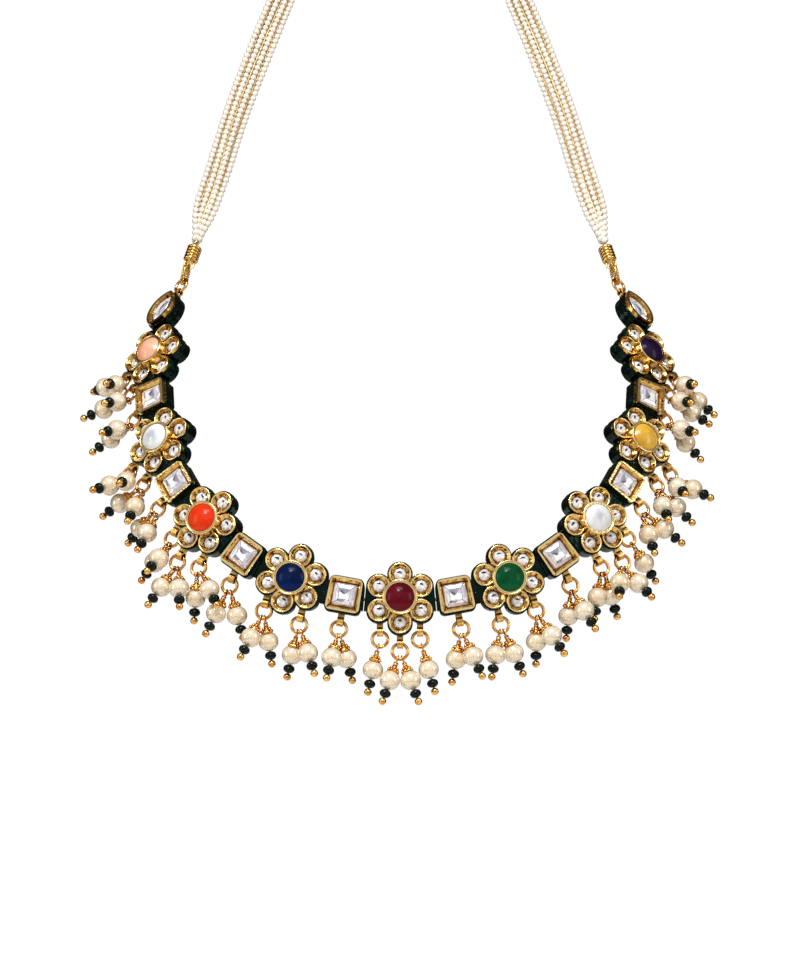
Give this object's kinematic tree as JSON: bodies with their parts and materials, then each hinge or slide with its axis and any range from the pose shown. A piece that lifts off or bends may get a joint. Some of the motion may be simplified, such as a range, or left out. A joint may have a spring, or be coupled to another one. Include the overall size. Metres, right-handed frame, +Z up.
{
  "type": "kundan necklace",
  "caption": "Collar necklace of gem-set flower and square links in enamelled gold cases, fringed with pearl drops and closed by seed pearl strands.",
  "frame": {"origin": "the underside of the barrel clasp, where the necklace sits on the nape", "axes": "+Z up as worn, -Y towards the front of the necklace, X across it"},
  "size_m": [0.1664, 0.146, 0.2125],
  "materials": {
    "enamelled_gold": "polished gold bezels on cases enamelled dark green",
    "gold": "polished gold",
    "clear_stone": "clear cut stone over silver foil",
    "pink_stone": "polished peach pink cabochon",
    "coral_stone": "polished coral cabochon",
    "blue_stone": "polished blue cabochon",
    "ruby_stone": "polished ruby red cabochon",
    "green_stone": "polished green cabochon",
    "yellow_stone": "polished yellow cabochon",
    "purple_stone": "polished dark purple cabochon",
    "pearl": "lustrous cream pearl",
    "dark_green_bead": "polished green black glass",
    "seed_pearl": "cream seed pearls on thread"
  },
  "bodies": {
    "root": {"link_flower_1": "enamelled_gold", "link_flower_2": "enamelled_gold", "link_flower_3": "enamelled_gold", "link_flower_4": "enamelled_gold", "link_flower_5": "enamelled_gold", "link_flower_6": "enamelled_gold", "link_flower_7": "enamelled_gold", "link_flower_8": "enamelled_gold", "link_flower_9": "enamelled_gold", "link_square_1": "enamelled_gold", "link_square_2": "enamelled_gold", "link_square_3": "enamelled_gold", "link_square_4": "enamelled_gold", "link_square_5": "enamelled_gold", "link_square_6": "enamelled_gold", "link_square_7": "enamelled_gold", "link_square_8": "enamelled_gold", "link_end_left": "enamelled_gold", "link_end_right": "enamelled_gold", "cabochon_pink": "pink_stone", "cabochon_pearl_left": "pearl", "cabochon_coral": "coral_stone", "cabochon_blue": "blue_stone", "cabochon_ruby": "ruby_stone", "cabochon_green": "green_stone", "cabochon_pearl_right": "pearl", "cabochon_yellow": "yellow_stone", "cabochon_purple": "purple_stone", "square_stone_1": "clear_stone", "square_stone_2": "clear_stone", "square_stone_3": "clear_stone", "square_stone_4": "clear_stone", "square_stone_5": "clear_stone", "square_stone_6": "clear_stone", "square_stone_7": "clear_stone", "square_stone_8": "clear_stone", "end_stone_left": "clear_stone", "end_stone_right": "clear_stone", "petal_stones": "clear_stone", "stringing_wire": "gold", "jump_rings": "gold", "drop_pins": "gold", "plain_ring_left": "gold", "plain_ring_right": "gold", "granulated_ring_left": "gold", "granulated_ring_right": "gold", "coil_cap_left": "gold", "coil_cap_right": "gold", "clasp": "gold", "drop_pearls": "pearl", "drop_green_beads": "dark_green_bead", "pearl_strands_left": "seed_pearl", "pearl_strands_right": "seed_pearl"}
  },
  "joints": []
}
